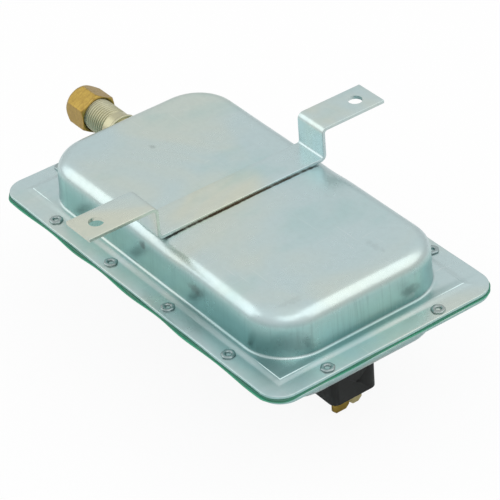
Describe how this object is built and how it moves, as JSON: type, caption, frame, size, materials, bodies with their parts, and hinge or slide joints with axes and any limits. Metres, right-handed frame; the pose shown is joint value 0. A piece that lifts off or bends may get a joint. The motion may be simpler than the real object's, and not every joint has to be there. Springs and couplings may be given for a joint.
{
  "type": "pressure switch",
  "caption": "Diaphragm pressure switch in a riveted rectangular sheet steel case, with a raised mounting strap, side compression port and snap switch beneath.",
  "frame": {"origin": "midpoint between the two mounting holes, on the top face of the strap's feet, which is the mounting plane", "axes": "+Z out of the mounting plane, away from the shells; +X along the shells towards the snap switch end (the sample port points to -X); +Y along the strap"},
  "size_m": [0.1602, 0.1116, 0.0668],
  "materials": {
    "zinc_upper": "bright zinc plating with a clear blue-green passivation, satin from the press tool",
    "zinc_lower": "bright zinc plating, satin",
    "zinc_strap": "bright zinc plating on strip, satin, faint yellow tint",
    "zinc_underside": "bright zinc plating, satin",
    "rivet_zinc": "bright zinc plated tubular rivets",
    "gasket_green": "dark green coated fabric, matt",
    "membrane_green": "dark green coated fabric, matt",
    "plate_steel": "plain zinc plated steel",
    "rivet_brass": "turned brass",
    "fitting_zinc": "turned steel, yellow-tinted zinc plating",
    "ferrule_brass": "turned brass",
    "nut_brass": "rough cut brass bar, dull",
    "lever_steel": "plain rolled steel",
    "spring_steel": "spring steel wire",
    "screw_brass": "turned brass",
    "guide_nylon": "natural nylon",
    "pin_phenolic": "brown phenolic",
    "case_black": "moulded black phenolic, slight sheen",
    "plunger_red": "moulded thermoset",
    "blade_bronze": "phosphor bronze strip",
    "contact_silver": "silver alloy",
    "tab_brass": "stamped brass strip",
    "tab_tinned": "stamped brass strip, pale",
    "screw_zinc": "zinc plated machine screws and nuts"
  },
  "bodies": {
    "housing": {"upper_shell": "zinc_upper", "lower_shell": "zinc_lower", "rim_gasket": "gasket_green", "diaphragm": "membrane_green", "flange_rivets": "rivet_zinc", "mounting_strap": "zinc_strap", "port_fitting": "fitting_zinc", "lever_bracket": "lever_steel", "pivot_pin": "lever_steel", "calibration_spring": "spring_steel", "spring_housing": "zinc_underside", "pin_guide": "guide_nylon", "switch_bracket": "zinc_underside", "switch_housing": "case_black", "switch_cover": "case_black", "fixed_contact_nc": "contact_silver", "fixed_contact_no": "contact_silver", "terminal_common": "tab_brass", "terminal_nc": "tab_tinned", "terminal_no": "tab_brass", "switch_screws": "screw_zinc", "switch_nuts": "screw_zinc"},
    "diaphragm_stack": {"diaphragm_plate_upper": "plate_steel", "diaphragm_plate_lower": "plate_steel", "centre_rivet": "rivet_brass"},
    "lever": {"trip_lever": "lever_steel", "spring_cup": "plate_steel"},
    "actuator": {"push_pin": "pin_phenolic", "switch_plunger": "plunger_red"},
    "blade": {"snap_blade": "blade_bronze", "moving_contact": "contact_silver"},
    "seat": {"spring_seat": "plate_steel"},
    "adjuster": {"range_screw": "screw_brass"},
    "ferrule_ring": {"ferrule": "ferrule_brass"},
    "nut": {"compression_nut": "nut_brass"}
  },
  "joints": [
    {"name": "diaphragm_slide", "type": "slide", "parent": "housing", "child": "diaphragm_stack", "axis": [0, 0, -1], "range_m": [0, 0.0006], "stiffness_N_per_m": 1000, "springref_m": -0.003, "deforming": ["diaphragm"]},
    {"name": "lever_pivot", "type": "hinge", "parent": "housing", "child": "lever", "pos_m": [-0.02696, 0, -0.03685], "axis": [0, 1, 0], "range_deg": [0, 1.2]},
    {"name": "pin_slide", "type": "slide", "parent": "housing", "child": "actuator", "axis": [0, 0, -1], "range_m": [0, 0.00125]},
    {"name": "blade_hinge", "type": "hinge", "parent": "housing", "child": "blade", "pos_m": [0.01354, 0, -0.04875], "axis": [0, 1, 0], "range_deg": [0, 3.4]},
    {"name": "seat_slide", "type": "slide", "parent": "housing", "child": "seat", "axis": [0, 0, 1], "range_m": [-0.004, 0.004], "deforming": ["calibration_spring"]},
    {"name": "range_spin", "type": "hinge", "parent": "seat", "child": "adjuster", "pos_m": [-0.00296, 0, -0.05685], "axis": [0, 0, 1], "range_deg": [-1450, 1450]},
    {"name": "ferrule_slide", "type": "slide", "parent": "housing", "child": "ferrule_ring", "axis": [-1, 0, 0], "range_m": [0, 0.00317]},
    {"name": "nut_spin", "type": "hinge", "parent": "ferrule_ring", "child": "nut", "pos_m": [-0.07896, 0, -0.01945], "axis": [-1, 0, 0], "range_deg": [0, 1090]}
  ],
  "couplings": [
    {"joint": "lever_pivot", "follows": "diaphragm_slide", "rad_per_m": 33.333},
    {"joint": "pin_slide", "follows": "diaphragm_slide", "ratio": 2.0667},
    {"joint": "blade_hinge", "follows": "diaphragm_slide", "rad_per_m": 96.124},
    {"joint": "range_spin", "follows": "seat_slide", "rad_per_m": 6283.2},
    {"joint": "nut_spin", "follows": "ferrule_slide", "rad_per_m": 5938.7}
  ]
}
